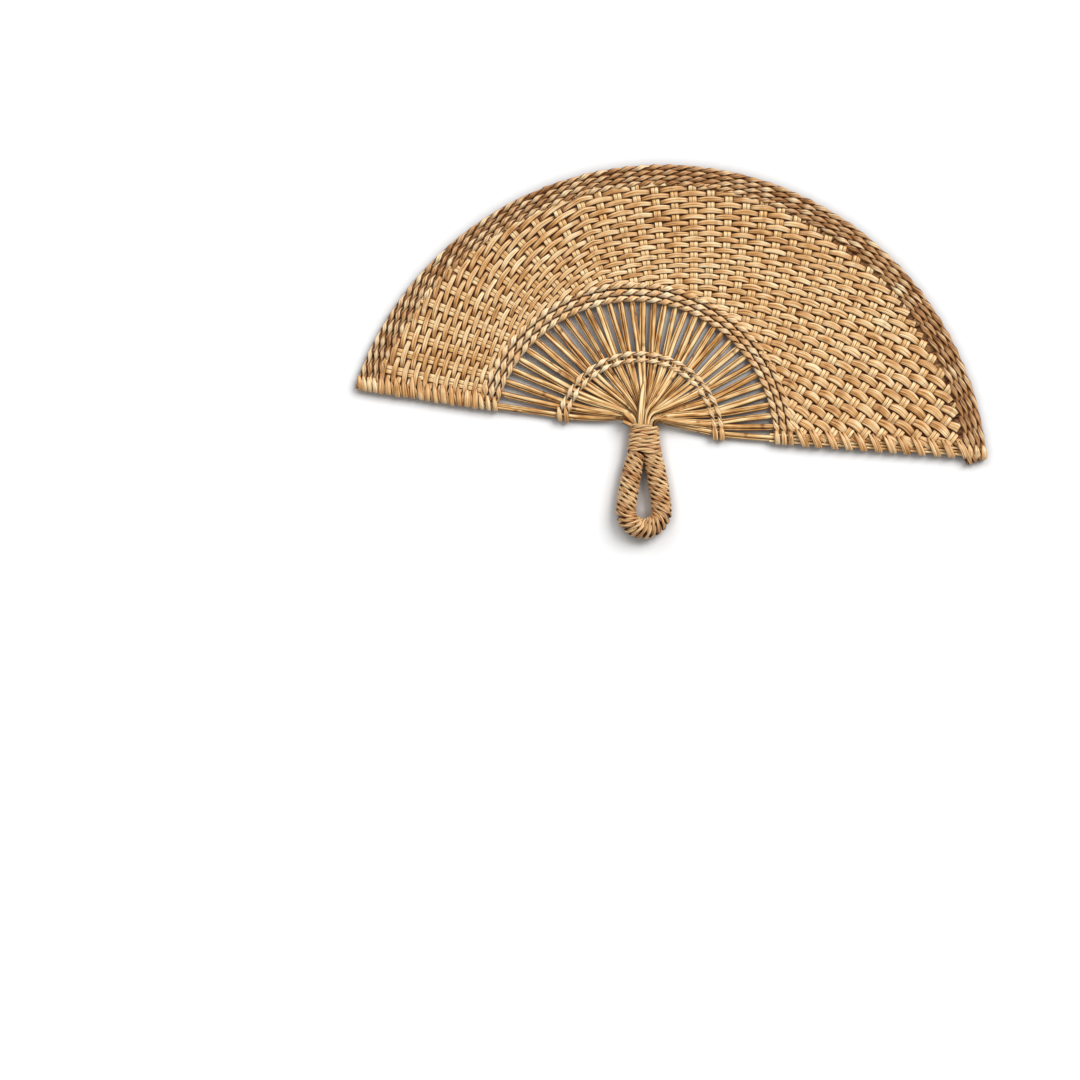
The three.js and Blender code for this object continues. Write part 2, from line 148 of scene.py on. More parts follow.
def sweep_tree():
    """Geometry nodes that turn routes into closed straws with the width and thickness stored on them."""
    tree = bpy.data.node_groups.new("Straw sweep", "GeometryNodeTree")
    sockets = tree.interface
    sockets.new_socket("Routes", in_out="INPUT", socket_type="NodeSocketGeometry")
    sockets.new_socket("Sides", in_out="INPUT", socket_type="NodeSocketInt")
    sockets.new_socket("Flatness", in_out="INPUT", socket_type="NodeSocketFloat")
    sockets.new_socket("Finish", in_out="INPUT", socket_type="NodeSocketMaterial")
    sockets.new_socket("Straws", in_out="OUTPUT", socket_type="NodeSocketGeometry")
    make = tree.nodes.new
    given = make("NodeGroupInput")
    made = make("NodeGroupOutput")
    curves = make("GeometryNodeMeshToCurve")
    where = make("GeometryNodeInputPosition")
    middle = make("GeometryNodeStoreNamedAttribute")
    middle.data_type = "FLOAT_VECTOR"
    middle.inputs["Name"].default_value = "middle"
    ring = make("GeometryNodeCurvePrimitiveCircle")
    ring.inputs["Radius"].default_value = 1.0
    section = make("GeometryNodeStoreNamedAttribute")
    section.data_type = "FLOAT_VECTOR"
    section.inputs["Name"].default_value = "section"
    sweep = make("GeometryNodeCurveToMesh")
    sweep.inputs["Fill Caps"].default_value = True
    read = {}
    for name in ("middle", "section", "wide", "deep"):
        read[name] = make("GeometryNodeInputNamedAttribute")
        read[name].data_type = "FLOAT_VECTOR"
        read[name].inputs["Name"].default_value = name
    parts = make("ShaderNodeSeparateXYZ")
    scaled = {}
    for name, axis in (("wide", "X"), ("deep", "Y")):
        size = make("ShaderNodeMath")
        size.operation = "ABSOLUTE"
        flatter = make("ShaderNodeMath")
        flatter.operation = "POWER"
        hand = make("ShaderNodeMath")
        hand.operation = "SIGN"
        signed = make("ShaderNodeMath")
        signed.operation = "MULTIPLY"
        scaled[name] = make("ShaderNodeVectorMath")
        scaled[name].operation = "SCALE"
        link(
            tree,
            (parts.outputs[axis], size.inputs[0]),
            (size.outputs[0], flatter.inputs[0]),
            (given.outputs["Flatness"], flatter.inputs[1]),
            (parts.outputs[axis], hand.inputs[0]),
            (hand.outputs[0], signed.inputs[0]),
            (flatter.outputs[0], signed.inputs[1]),
            (signed.outputs[0], scaled[name].inputs["Scale"]),
        )
    corner = make("ShaderNodeVectorMath")
    corner.operation = "ADD"
    place = make("ShaderNodeVectorMath")
    place.operation = "ADD"
    moved = make("GeometryNodeSetPosition")
    smooth = make("GeometryNodeSetShadeSmooth")
    real = make("GeometryNodeRealizeInstances")
    finish = make("GeometryNodeSetMaterial")
    link(
        tree,
        (given.outputs["Routes"], curves.inputs["Mesh"]),
        (curves.outputs["Curve"], middle.inputs["Geometry"]),
        (where.outputs["Position"], middle.inputs["Value"]),
        (given.outputs["Sides"], ring.inputs["Resolution"]),
        (ring.outputs["Curve"], section.inputs["Geometry"]),
        (where.outputs["Position"], section.inputs["Value"]),
        (middle.outputs["Geometry"], sweep.inputs["Curve"]),
        (section.outputs["Geometry"], sweep.inputs["Profile Curve"]),
        (read["section"].outputs["Attribute"], parts.inputs["Vector"]),
        (read["wide"].outputs["Attribute"], scaled["wide"].inputs["Vector"]),
        (read["deep"].outputs["Attribute"], scaled["deep"].inputs["Vector"]),
        (scaled["wide"].outputs["Vector"], corner.inputs[0]),
        (scaled["deep"].outputs["Vector"], corner.inputs[1]),
        (corner.outputs["Vector"], place.inputs[0]),
        (read["middle"].outputs["Attribute"], place.inputs[1]),
        (sweep.outputs["Mesh"], moved.inputs["Geometry"]),
        (place.outputs["Vector"], moved.inputs["Position"]),
        (moved.outputs["Geometry"], smooth.inputs["Geometry"]),
        (smooth.outputs["Geometry"], real.inputs["Geometry"]),
        (real.outputs["Geometry"], finish.inputs["Geometry"]),
        (given.outputs["Finish"], finish.inputs["Material"]),
        (finish.outputs["Geometry"], made.inputs["Straws"]),
    )
    return tree


STRAW_SWEEP = sweep_tree()


def straws_piece(name, straws, finish, sides, flatness, nodes):
    """A piece of many straws: their routes go through the sweep and come back as one plain mesh."""
    mesh = bpy.data.meshes.new(name + "_routes")
    counts = [len(one["route"]) for one in straws]
    starts = np.cumsum([0] + counts[:-1])
    edges = [(s + i, s + i + 1) for s, n in zip(starts, counts) for i in range(n - 1)]
    mesh.from_pydata(np.concatenate([one["route"] for one in straws]) * MM, edges, [])
    for key in ("wide", "deep"):
        values = np.concatenate([one[key] for one in straws]) * MM
        mesh.attributes.new(key, "FLOAT_VECTOR", "POINT").data.foreach_set("vector", values.ravel())
    for key in ("along", "tone", "painted_shade_top", "painted_shade_bottom", "chance"):
        values = np.concatenate([np.broadcast_to(one[key], (n,)) for one, n in zip(straws, counts)])
        mesh.attributes.new(key, "FLOAT", "POINT").data.foreach_set("value", values)
    routes = bpy.data.objects.new(name + "_routes", mesh)
    bpy.context.collection.objects.link(routes)
    sweep = routes.modifiers.new("sweep", "NODES")
    sweep.node_group = STRAW_SWEEP
    settings = {"Sides": sides, "Flatness": flatness, "Finish": finish}
    for socket in STRAW_SWEEP.interface.items_tree:
        if socket.name in settings:
            sweep[socket.identifier] = settings[socket.name]
    bpy.context.view_layer.update()
    swept = routes.evaluated_get(bpy.context.evaluated_depsgraph_get())
    plain = bpy.data.meshes.new_from_object(swept)
    plain.name = name
    for key in ("middle", "wide", "deep"):
        plain.attributes.remove(plain.attributes[key])
    bpy.data.objects.remove(routes)
    piece = bpy.data.objects.new(name, plain)
    bpy.context.collection.objects.link(piece)
    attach(piece, "root")
    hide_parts(*nodes)


def grain_group():
    """Shader group for dried straw: fibres along it, slow changes of shade, a seam, nodes, and painted shade
    on edges and hidden stretches.
    """
    group = bpy.data.node_groups.new("Straw grain", "ShaderNodeTree")
    sockets = group.interface
    for name in ("Dark", "Middle", "Light"):
        sockets.new_socket(name, in_out="INPUT", socket_type="NodeSocketColor")
    for name in ("Fibre", "Patch", "Seam", "Node", "Edge", "Fineness"):
        sockets.new_socket(name, in_out="INPUT", socket_type="NodeSocketFloat")
    sockets.new_socket("Colour", in_out="OUTPUT", socket_type="NodeSocketColor")
    sockets.new_socket("Roughness", in_out="OUTPUT", socket_type="NodeSocketFloat")
    sockets.new_socket("Height", in_out="OUTPUT", socket_type="NodeSocketFloat")
    make = group.nodes.new
    given = make("NodeGroupInput")
    made = make("NodeGroupOutput")

    def number(value, socket):
        if isinstance(value, (int, float)):
            socket.default_value = value
        else:
            group.links.new(value, socket)

    def math_node(operation, *values, clamp=False):
        node = make("ShaderNodeMath")
        node.operation = operation
        node.use_clamp = clamp
        for value, socket in zip(values, node.inputs):
            number(value, socket)
        return node.outputs[0]

    def ranged(value, low, high, to_low=0.0, to_high=1.0):
        node = make("ShaderNodeMapRange")
        node.interpolation_type = "SMOOTHSTEP"
        limits = {"Value": value, "From Min": low, "From Max": high, "To Min": to_low, "To Max": to_high}
        for name, one in limits.items():
            number(one, node.inputs[name])
        return node.outputs["Result"]

    def attribute(name):
        node = make("ShaderNodeAttribute")
        node.attribute_name = name
        return node

    def noise(x, y, z, detail):
        joined = make("ShaderNodeCombineXYZ")
        for value, socket in zip((x, y, z), joined.inputs):
            number(value, socket)
        node = make("ShaderNodeTexNoise")
        node.inputs["Scale"].default_value = 1.0
        node.inputs["Detail"].default_value = detail
        group.links.new(joined.outputs[0], node.inputs["Vector"])
        return node.outputs["Fac"]

    def mixed(share, first, second, blend="MIX"):
        node = make("ShaderNodeMix")
        node.data_type = "RGBA"
        node.blend_type = blend
        number(share, node.inputs["Factor"])
        group.links.new(first, node.inputs["A"])
        if isinstance(second, tuple):
            node.inputs["B"].default_value = second
        else:
            group.links.new(second, node.inputs["B"])
        return node.outputs["Result"]

    # Steps of each pattern per millimetre along the straw, and the shade of a straw of middling tone
    fibre_run = 0.05
    patch_run = 0.11
    node_run = 0.012
    mean_shade = 0.58
    # Painted shade: hidden stretches darken by this much, and shaded parts go this share of the way to a
    # dark colour
    painted_shade_loss = -0.3
    painted_shade_share = 0.95
    # Dark colour of the painted shade, which the real seam and node lines also take
    shade_and_mark_colour = (0.15, 0.07, 0.03, 1.0)
    along = attribute("along").outputs["Fac"]
    tone = attribute("tone").outputs["Fac"]
    split = make("ShaderNodeSeparateXYZ")
    group.links.new(attribute("section").outputs["Vector"], split.inputs[0])
    side, top = split.outputs["X"], split.outputs["Y"]
    painted_shade_top = attribute("painted_shade_top").outputs["Fac"]
    painted_shade_bottom = attribute("painted_shade_bottom").outputs["Fac"]
    # Painted shade of stretches hidden between neighbours: from above on the upper side, from below on the
    # lower side
    hidden = math_node("MULTIPLY_ADD", ranged(top, -0.25, 0.25), math_node("SUBTRACT", painted_shade_top, painted_shade_bottom), painted_shade_bottom)
    seed = attribute("chance").outputs["Fac"]
    fibre = noise(
        math_node("MULTIPLY_ADD", along, fibre_run, seed),
        math_node("MULTIPLY_ADD", side, given.outputs["Fineness"], seed),
        math_node("MULTIPLY", top, 1.2),
        2.5,
    )
    patch = noise(math_node("MULTIPLY_ADD", along, patch_run, seed), seed, 0.0, 1.0)
    value = math_node("MULTIPLY_ADD", math_node("SUBTRACT", tone, 0.5), 0.5, mean_shade)
    for pattern, name in ((fibre, "Fibre"), (patch, "Patch")):
        change = math_node("MULTIPLY", math_node("SUBTRACT", pattern, 0.5), given.outputs[name])
        value = math_node("ADD", value, change)
    value = math_node("MULTIPLY_ADD", hidden, painted_shade_loss, value)
    low = math_node("MULTIPLY", value, 2.0, clamp=True)
    high = math_node("MULTIPLY_ADD", value, 2.0, -1.0, clamp=True)
    colour = mixed(high, mixed(low, given.outputs["Dark"], given.outputs["Middle"]), given.outputs["Light"])
    off_middle = math_node("ABSOLUTE", side)
    seam = math_node("MULTIPLY", ranged(off_middle, 0.03, 0.16, 1.0, 0.0), given.outputs["Seam"])
    # Painted shade along both sides of each straw
    edge = math_node("MULTIPLY", ranged(off_middle, given.outputs["Edge"], 1.0), painted_shade_share)
    # Painted shade on hidden stretches
    depth = math_node("MULTIPLY_ADD", math_node("ABSOLUTE", top), -0.3, hidden)
    below = ranged(depth, 0.15, 0.8, 0.0, painted_shade_share)
    cells = make("ShaderNodeTexVoronoi")
    cells.voronoi_dimensions = "1D"
    cells.inputs["Scale"].default_value = 1.0
    group.links.new(math_node("MULTIPLY_ADD", along, node_run, seed), cells.inputs["W"])
    near_ring = ranged(cells.outputs["Distance"], 0.006, 0.022, 1.0, 0.0)
    ring = math_node("MULTIPLY", near_ring, given.outputs["Node"])
    lines = math_node("ADD", seam, ring)
    # Painted shade of edges and hidden stretches, together with the real seam and node lines, darkens the
    # colour
    shade = math_node("ADD", math_node("MAXIMUM", edge, below), lines, clamp=True)
    colour = mixed(shade, colour, mixed(1.0, colour, shade_and_mark_colour, "MULTIPLY"))
    roughness = math_node("MULTIPLY_ADD", shade, 0.4, math_node("MULTIPLY_ADD", fibre, -0.3, 0.54))
    height = math_node("SUBTRACT", fibre, math_node("MULTIPLY", seam, 0.8))
    link(
        group,
        (colour, made.inputs["Colour"]),
        (roughness, made.inputs["Roughness"]),
        (height, made.inputs["Height"]),
    )
    return group


STRAW_GRAIN = grain_group()


def straw_finish(name, dark, middle, light, fibre, patch, seam, node, edge, bump, fineness=4.0):
    """A material of dried straw in three linear colours, with the strength of each of its patterns."""
    finish = bpy.data.materials.new(name)
    finish.use_nodes = True
    tree = finish.node_tree
    surface = tree.nodes["Principled BSDF"]
    grain = tree.nodes.new("ShaderNodeGroup")
    grain.node_tree = STRAW_GRAIN
    for key, colour in (("Dark", dark), ("Middle", middle), ("Light", light)):
        grain.inputs[key].default_value = (*colour, 1.0)
    values = {"Fibre": fibre, "Patch": patch, "Seam": seam, "Node": node, "Edge": edge, "Fineness": fineness}
    for key, value in values.items():
        grain.inputs[key].default_value = value
    relief = tree.nodes.new("ShaderNodeBump")
    relief.inputs["Strength"].default_value = bump
    relief.inputs["Distance"].default_value = 0.3 * MM
    surface.inputs["Specular IOR Level"].default_value = 0.3
    link(
        tree,
        (grain.outputs["Colour"], surface.inputs["Base Color"]),
        (grain.outputs["Roughness"], surface.inputs["Roughness"]),
        (grain.outputs["Height"], relief.inputs["Height"]),
        (relief.outputs["Normal"], surface.inputs["Normal"]),
    )
    return finish


STALK_LAYERS = 3
STALK_COLUMNS = 7
COLUMN_PITCH = 1.9
LAYER_PITCH = 2.1
STALK_TUCK = 8.5
STALK_EXIT = 1.4
EXIT_STEP = 1.7
FORK_REACH = 14.0
FORK_HALF = 0.5
KNEE_REACH = 43.0
KNEE_HALF = 1.0
RIB_BOW = 0.5
RIB_STEP = 2.2
RIB_FLATNESS = 0.85
ROW_PITCH = 4.3
BAND_CENTRE = np.array((-6.4, -9.3, 0.0))
BAND_RADIUS = 89.9
BAND_LEAD = 4.5
BAND_TUCK = 2.0
# Half width of a rib at the throat, past it, at the knee, before the band and inside it
RIB_HALVES = (0.85, 1.05, 1.4, 1.5, 1.0, 0.55)
# Painted shade on the stalks of each layer at the throat, and on the edge stakes there
LAYER_PAINTED_SHADES = (0.8, 0.4, 0.05)
EDGE_PAINTED_SHADE = 0.1
# Broad strip and sliver of a rib: place across, share of the width, and drop, which also darkens it as
# painted shade
RIB_STRIPS = ((-0.35, 1.0, 0.0), (0.95, 0.45, 0.35))


def band_reach(angle, row):
    return circle_reach(angle, BAND_CENTRE, BAND_RADIUS + ROW_PITCH * row)


def rib_foot(stalk, middle):
    """Where a stalk stands in the neck, leaves it and turns outward, as in the bound bundle of the neck."""
    column = stalk // STALK_LAYERS - (STALK_COLUMNS - 1) / 2
    x = column * COLUMN_PITCH
    z = HANDLE_Z + (stalk % STALK_LAYERS - 1) * LAYER_PITCH
    leave = STALK_EXIT + EXIT_STEP * ((STALK_COLUMNS - 1) / 2 - abs(column))
    fork = NECK_PLACE + outward(middle) * FORK_REACH + UP * z
    return [in_handle(x, -STALK_TUCK, z), in_handle(x, leave, z), fork]


def rib_straws(rib, stalk, hand, middle, dice):
    """The broad strip and the sliver of one rib, from the neck to the band."""
    angle = rib_angle(rib)
    open_end = float(band_reach(angle, 0)) - BAND_LEAD
    route = rib_foot(stalk, middle)
    route[-1] = route[-1] + across(middle) * FORK_HALF * hand
    crook = dice.uniform(-0.35, 0.35)
    rise = dice.uniform(-0.2, 0.3)
    knee = outward(middle) * KNEE_REACH + across(middle) * (hand * KNEE_HALF + crook)
    route.append(knee + UP * (BLADE_Z + rise))
    between = outward(middle) * 0.5 * KNEE_REACH + outward(angle) * 0.5 * open_end
    bow = hand * RIB_BOW + dice.uniform(-0.45, 0.45)
    route.append(between + across(angle) * bow + UP * (BLADE_Z + rise))
    route.append(outward(angle) * open_end + UP * BLADE_Z)
    route.append(outward(angle) * float(band_reach(angle, 2) + BAND_TUCK) + UP * BLADE_Z)
    route = rounded(route, RIB_STEP)
    reach = np.linalg.norm(route[:, :2], axis=1)
    marks = (0, 20, KNEE_REACH, open_end, open_end + 5, open_end + 14)
    thick = np.interp(reach, marks, RIB_HALVES) * dice.uniform(0.88, 1.1)
    deep = LAYER_PAINTED_SHADES[stalk % STALK_LAYERS] if hand else EDGE_PAINTED_SHADE
    # Painted shade: most on the lower layers at the throat, none in the open part, more again under the band
    painted_shade_top = np.interp(reach, marks, (deep, 0.6 * deep, 0.0, 0.0, 0.5, 0.9))
    tone = dice.uniform(0.3, 0.8)
    flank = dice.choice((-1, 1))
    made = []
    for place, share, low in RIB_STRIPS:
        line = route + across(angle) * (flank * place * thick)[:, None] - UP * low
        # The drop also darkens the sliver, as painted shade beside the broad strip
        shade = min(0.98, max(0.02, tone + dice.uniform(-0.25, 0.25) - low))
        made.append(straw(line, across(angle), thick * share, thick * share * RIB_FLATNESS, shade, painted_shade_top))
    return made


dice = random.Random(11)
ribs = []
for rib in range(RIBS):
    inner = 0 < rib < RIBS - 1
    pair = (rib - 1) // 2
    stalk = pair + 1 if inner else (0 if rib == 0 else RIBS // 2)
    middle = rib_angle(2 * pair + 1.5) if inner else rib_angle(rib)
    hand = (-1 if rib % 2 else 1) if inner else 0
    ribs += rib_straws(rib, stalk, hand, middle, dice)

# Cut stubs beside the neck: place in the frame of the handle, length, lean in degrees and half width
STUBS = ((-6.5, -1.0, 8.5, -48, 2.0), (-8.2, -2.5, 6.0, -66, 1.4), (6.8, 0.5, 7.0, 62, 1.1))
STUB_RISE = 1.5
STUB_THICK = 0.75
for x, y, length, lean, half in STUBS:
    aim = HANDLE_UP * math.cos(math.radians(lean)) + HANDLE_RIGHT * math.sin(math.radians(lean))
    foot = in_handle(x, y, HANDLE_Z + STUB_RISE)
    line = rounded([foot, foot + aim * 0.5 * length + UP * 0.8, foot + aim * length + UP * 0.3], 1.0)
    # The stubs carry a little painted shade
    ribs.append(straw(line, np.cross(aim, UP), half, STUB_THICK, 0.0, 0.35))

# The bent stick over the middle of the throat, in the frame of the handle
BENT_STICK = ((-3.4, -3, 11.4), (-2.9, 9, 11.2), (-1.4, 21, 8.6), (-0.6, 25, 7.4))
STICK_HALF = 1.5
STICK_TIP = 0.4
line = rounded([in_handle(*point) for point in BENT_STICK], 1.0)
marks = (0, len(line) - 7, len(line) - 1)
taper = np.interp(np.arange(len(line)), marks, (STICK_HALF, STICK_HALF, STICK_TIP))
ribs.append(straw(line, HANDLE_RIGHT, taper, 0.8 * taper, 0.9))
cane = straw_finish(
    "golden cane",
    dark=(0.24, 0.085, 0.015),
    middle=(0.74, 0.375, 0.11),
    light=(1.0, 0.79, 0.43),
    fibre=3.0,
    patch=1.0,
    seam=0.0,
    node=0.5,
    edge=0.42,
    bump=0.4,
    fineness=1.9,
)
rib_nodes = [f"rib_pair_{pair:02d}" for pair in range(1, RIBS // 2)]
stake_nodes = ["edge_stake_left", "edge_stake_right"]
straws_piece(
    "rib_straws", ribs, cane, sides=10, flatness=1.0, nodes=rib_nodes + stake_nodes
)


# Panel warps: each rib goes on into the panel as two flat strips side by side. Left of the middle they fan
# out with a slight lean. Right of it they lean up more and more, so that the last start from the right edge.
RIM_RADIUS = 204.0
RIM_CENTRE = np.array((15.6, -36.8, 0.0))
PANEL_INSET = 13.2
PANEL_MARGIN = 1.8
PANEL_TUCK = 3
EDGE_SPARE = math.radians(0.4)
PIVOT_RIB = 13
PIVOT = rib_angle(PIVOT_RIB)
BEND_POWER = 0.5
ROWS = 17
LEFT_ROWS = 35
LOW_ROWS = -18
LOW_ROW_STEP = 0.175
LOW_ROW_GROWTH = 0.0035
# Places of the warps across the leaning grid, whose gaps close up toward the right edge
WARP_END = 12.9
WARP_GAP = 0.52
WARP_GAP_LOSS = 0.018
WARP_GAP_LEAST = 0.35
WARP_GAP_MOST = 0.485
# How the rows wind inward on the left and the warps lean there, and where both fade
SPIRAL = math.tan(math.radians(14))
SPIRAL_FADE = np.radians((-78, -60))
WARP_LEAN = math.tan(math.radians(8))
WARP_LEAN_FADE = (-HALF_SPREAD, math.radians(-65), math.radians(-40), PIVOT)


def rim_reach(angle, inset):
    return circle_reach(angle, RIM_CENTRE, RIM_RADIUS - inset)


def panel_start(angle):
    return band_reach(angle, 2) + PANEL_MARGIN


PIVOT_START = float(panel_start(PIVOT))
PIVOT_END = float(rim_reach(PIVOT, PANEL_INSET))
ROW_LOW = PIVOT_START**BEND_POWER
ROW_STEP = (PIVOT_END**BEND_POWER - ROW_LOW) / ROWS


def row_height(row):
    """Height of a row in the leaning grid; rows that start below the middle stand ever further apart."""
    step = np.asarray(row, float) + 0.5
    low = step * LOW_ROW_STEP - step**2 * LOW_ROW_GROWTH
    return ROW_LOW + np.where(step > 0, step * ROW_STEP, low)


warp_x = [0.0]
while warp_x[-1] < WARP_END:
    gap = max(WARP_GAP_LEAST, WARP_GAP - WARP_GAP_LOSS * warp_x[-1])
    warp_x.append(warp_x[-1] + min(WARP_GAP_MOST, gap))

left_angles = np.linspace(-HALF_SPREAD - 0.1, PIVOT, 200)
left_pull = SPIRAL * np.interp(left_angles, SPIRAL_FADE, (0, 1))
left_pull = np.cumsum(left_pull[::-1])[::-1] * (left_angles[1] - left_angles[0])


def leaning(x, y):
    """A point of the leaning grid: angle and reach from the throat."""
    return PIVOT + np.arctan2(x, y) / BEND_POWER, np.hypot(x, y) ** (1 / BEND_POWER)


def panel_point(warp, row):
    """Angle and reach where a warp and a row cross, both as fractional counts from the middle rib. On the
    left the rows wind inward toward the edge, which they meet squarely, and the warps lean a little out."""
    warp = np.asarray(warp, float)
    row = np.asarray(row, float)
    left_angle = PIVOT + np.minimum(warp, 0) * RIB_PITCH
    pull = np.interp(left_angle, left_angles, left_pull)
    left_reach = row_height(row) ** (1 / BEND_POWER) * np.exp(-pull)
    lean = WARP_LEAN * np.interp(left_angle, WARP_LEAN_FADE, (0, 1, 1, 0))
    left_angle = left_angle - lean * np.log(left_reach / panel_start(left_angle))
    x = np.interp(warp, np.arange(len(warp_x)), warp_x)
    right_angle, right_reach = leaning(x, row_height(row))
    right = warp > 0
    return np.where(right, right_angle, left_angle), np.where(right, right_reach, left_reach)


def in_panel(angle, reach, spare):
    """True where a point lies between the band, the rim and the right edge, with some to spare."""
    inside = (reach > panel_start(angle) - PANEL_TUCK) & (reach < rim_reach(angle, PANEL_INSET - spare))
    return inside & (angle < HALF_SPREAD - EDGE_SPARE)


WARP_RISE = 1.05
WARP_THICK = 0.42
WARP_SPARE = 1.5
STRIP_GAP = 0.03
WARP_STEP = 0.1875
FEWEST_POINTS = 6
dice = random.Random(23)
warps = []
for warp in range(1 - PIVOT_RIB, len(warp_x)):
    row = np.arange(LOW_ROWS, LEFT_ROWS + 0.6, WARP_STEP)
    angle, reach = panel_point(np.full_like(row, warp), row)
    keep = in_panel(angle, reach, WARP_SPARE + dice.uniform(-1.0, 1.5))
    if keep.sum() < FEWEST_POINTS:
        continue
    row, angle, reach = row[keep], angle[keep], reach[keep]
    route = outward(angle) * reach[:, None]
    dip = np.cos(np.pi * (row + warp))
    route[:, 2] = BLADE_Z - WARP_RISE * dip
    # Painted shade on the upper side where the warp dips under a weft, and on the lower side where it rises
    # over one
    painted_shade_top = (0.5 + 0.5 * dip) ** 1.5
    painted_shade_bottom = (0.5 - 0.5 * dip) ** 1.5
    ahead = unit(np.gradient(route * (1, 1, 0), axis=0))
    side = np.cross(ahead, UP)
    half = dice.uniform(1.12, 1.26)
    tone = dice.uniform(0.62, 0.92)
    for hand in (-1, 1):
        shade = min(0.95, max(0.05, tone + dice.uniform(-0.18, 0.18)))
        line = route + side * hand * (half + STRIP_GAP)
        warps.append(straw(line, side, half, WARP_THICK, shade, painted_shade_top, painted_shade_bottom))
warp_finish = straw_finish(
    "flat warp straw",
    dark=(0.28, 0.1, 0.02),
    middle=(0.78, 0.41, 0.138),
    light=(1.0, 0.8, 0.47),
    fibre=2.0,
    patch=0.8,
    seam=0.1,
    node=0.25,
    edge=0.75,
    bump=0.4,
)
straws_piece("panel_warps", warps, warp_finish, sides=10, flatness=0.6, nodes=rib_nodes)


# Wefts: broad pale straws woven one over, one under the warps, each with a seam along its back. They bow
# outward where they ride over a warp and narrow where they dive under the next one. Thin dark strips between
# two rows are painted shade inside the weave.
WEFT_RISE = 0.85
WEFT_THICK = 0.5
WEFT_DIVE = 0.5
STEPS_PER_WARP = 9
# Shares of the row spacing: half width, how far it swells and how far the straw bows out over a warp
WEFT_HALF = 0.405
WEFT_SWELL = 0.05
WEFT_BOW = 0.12
SHADE_STRIP_HALF = 0.2
SHADE_STRIP_THICK = 0.15
# Wefts end past the start of the rim on the left and short of it on the right
WEFT_SPARE = (2.0, -2.2)
WEFT_SPARE_ANGLES = (0.4, 0.7)
dice = random.Random(37)
wefts = []
for row in range(LOW_ROWS, LEFT_ROWS):
    warp = np.arange(0.3 - PIVOT_RIB, len(warp_x) - 1, 1 / STEPS_PER_WARP)
    angle, reach = panel_point(warp, np.full_like(warp, row))
    keep = in_panel(angle, reach, np.interp(angle, WEFT_SPARE_ANGLES, WEFT_SPARE))
    if keep.sum() < STEPS_PER_WARP:
        continue
    warp, angle, reach = warp[keep], angle[keep], reach[keep]
    route = outward(angle) * reach[:, None]
    next_angle, next_reach = panel_point(warp, np.full_like(warp, row + 0.5))
    outside = outward(next_angle) * next_reach[:, None] - route
    pitch = 2 * np.linalg.norm(outside, axis=1)
    outside = unit(outside)
    bends = [dice.uniform(-1, 1) for _ in range(PIVOT_RIB + len(warp_x))]
    uneven = np.interp(warp, np.arange(-PIVOT_RIB, len(warp_x)), bends)
    over = np.cos(np.pi * (warp + row))
    ride = np.tanh(3.0 * (over + WEFT_DIVE))
    route = route + outside * (pitch * (WEFT_BOW * over + 0.05 * uneven))[:, None]
    route[:, 2] = BLADE_Z + WEFT_RISE * ride
    half = pitch * (WEFT_HALF + WEFT_SWELL * over + 0.025 * uneven)
    # Painted highlight: the right half of each float is lighter, the left half darker
    painted_glint = 0.16 * np.sin(np.pi * (warp + row))
    shade = np.clip(dice.uniform(0.33, 0.65) + 0.18 * uneven + painted_glint, 0.0, 1.0)
    # Painted shade on the upper side where the weft dives, and on the lower side where it rides over
    wefts.append(straw(route, outside, half, WEFT_THICK, shade, 0.5 - 0.5 * ride, 0.35 + 0.35 * ride))
    # A thin dark strip between this row and the next, painted shade inside the weave
    shade_strip = outward(next_angle) * next_reach[:, None] + UP * BLADE_Z
    wefts.append(straw(shade_strip[::3], outside[::3], SHADE_STRIP_HALF * pitch[::3], SHADE_STRIP_THICK, 0.0, 1.0))
weft_finish = straw_finish(
    "broad weft straw",
    dark=(0.26, 0.092, 0.019),
    middle=(0.75, 0.39, 0.135),
    light=(1.0, 0.81, 0.49),
    fibre=2.3,
    patch=1.0,
    seam=0.25,
    node=0.2,
    edge=0.75,
    bump=0.5,
)
weft_nodes = [f"weft_{row:02d}" for row in range(1, ROWS + 1)]
straws_piece("panel_wefts", wefts, weft_finish, sides=10, flatness=0.65, nodes=weft_nodes)


# Twined rows: pairs of plump strands that change places between one rib and the next. Two rows hold the open
# ribs apart, three make the band where the panel starts, and four finish the rim over the tips of stakes.
TWINE_STEPS = 12
TWINE_ROLL = 0.8
PALER_TO_THE_LEFT = 0.3


